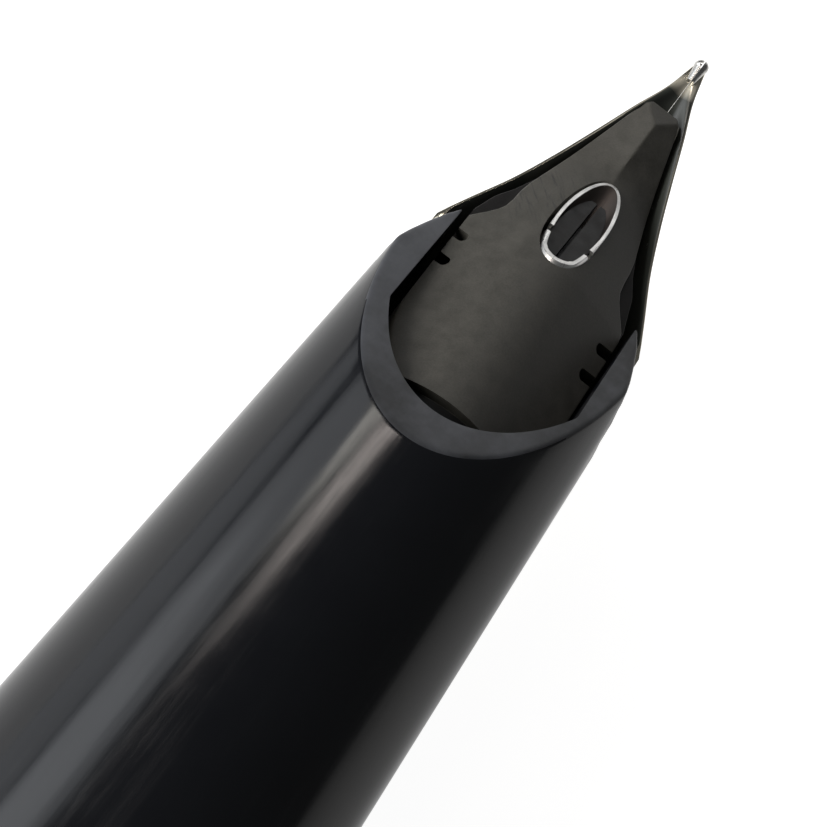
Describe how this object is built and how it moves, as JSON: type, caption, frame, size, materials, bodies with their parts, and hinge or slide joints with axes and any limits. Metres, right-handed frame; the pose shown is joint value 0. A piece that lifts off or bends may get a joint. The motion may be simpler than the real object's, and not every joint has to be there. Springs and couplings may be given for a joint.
{
  "type": "fountain pen",
  "caption": "Fountain pen with an inlaid nib, a slanted open mouth over its feed and a retractable filling tube worked by a plunger knob; cap not included.",
  "frame": {"origin": "on the pen's axis, in the middle of the trim ring that the cap seats on", "axes": "+X along the pen to the nib's tip, +Z towards the feed side of the pen"},
  "size_m": [0.1296, 0.0134, 0.0136],
  "materials": {
    "shell_black": "polished injection-moulded black plastic, lightly worn",
    "feed_black": "matte machined hard rubber with faint tool marks",
    "nib_gold": "pale polished gold alloy, ink-stained inside",
    "tipping_metal": "ground hard-metal pellet",
    "steel_tube": "drawn stainless tube with a bright cut edge",
    "trim_metal": "polished plated ring",
    "plunger_metal": "polished plated tube",
    "inner_metal": "plain turned metal",
    "spring_steel": "spring wire",
    "brass_plain": "plain turned brass",
    "seal_rubber": "moulded seal rubber",
    "sac_rubber": "dipped sac rubber",
    "inner_plastic": "plain moulded plastic"
  },
  "bodies": {
    "pen_body": {"section_shell": "shell_black", "nib": "nib_gold", "nib_tipping": "tipping_metal", "feed": "feed_black", "gasket_holder": "inner_plastic", "tube_gasket": "seal_rubber", "gasket_retainer": "inner_plastic", "section_gasket": "seal_rubber", "trim_ring": "trim_metal", "connector_sleeve": "inner_plastic", "barrel_shell": "shell_black", "spring_seat": "inner_metal", "extension_spring": "spring_steel", "barrel_end_bush": "inner_plastic", "packing_o_ring": "seal_rubber", "packing_washer": "inner_metal"},
    "snorkel_carriage": {"snorkel_tube": "steel_tube", "tube_inner_feed": "feed_black", "sac_plug": "inner_plastic", "ink_sac": "sac_rubber", "sac_protector": "inner_metal", "carriage_screw": "brass_plain"},
    "plunger": {"plunger_tube": "plunger_metal", "plunger_head": "seal_rubber", "swivel_washer": "inner_metal"},
    "filler_knob": {"knob_shell": "shell_black", "knob_nut": "brass_plain"}
  },
  "joints": [
    {"name": "plunger_pull", "type": "slide", "parent": "pen_body", "child": "plunger", "axis": [-1, 0, 0], "range_m": [0, 0.038]},
    {"name": "knob_turn", "type": "hinge", "parent": "plunger", "child": "filler_knob", "pos_m": [-0.07, 0, 0], "axis": [-1, 0, 0], "range_deg": [0, 1800]},
    {"name": "snorkel_extend", "type": "slide", "parent": "pen_body", "child": "snorkel_carriage", "axis": [1, 0, 0], "range_m": [0, 0.012], "deforming": ["extension_spring"]}
  ],
  "couplings": [
    {"joint": "knob_turn", "follows": "snorkel_extend", "rad_per_m": 2618}
  ]
}
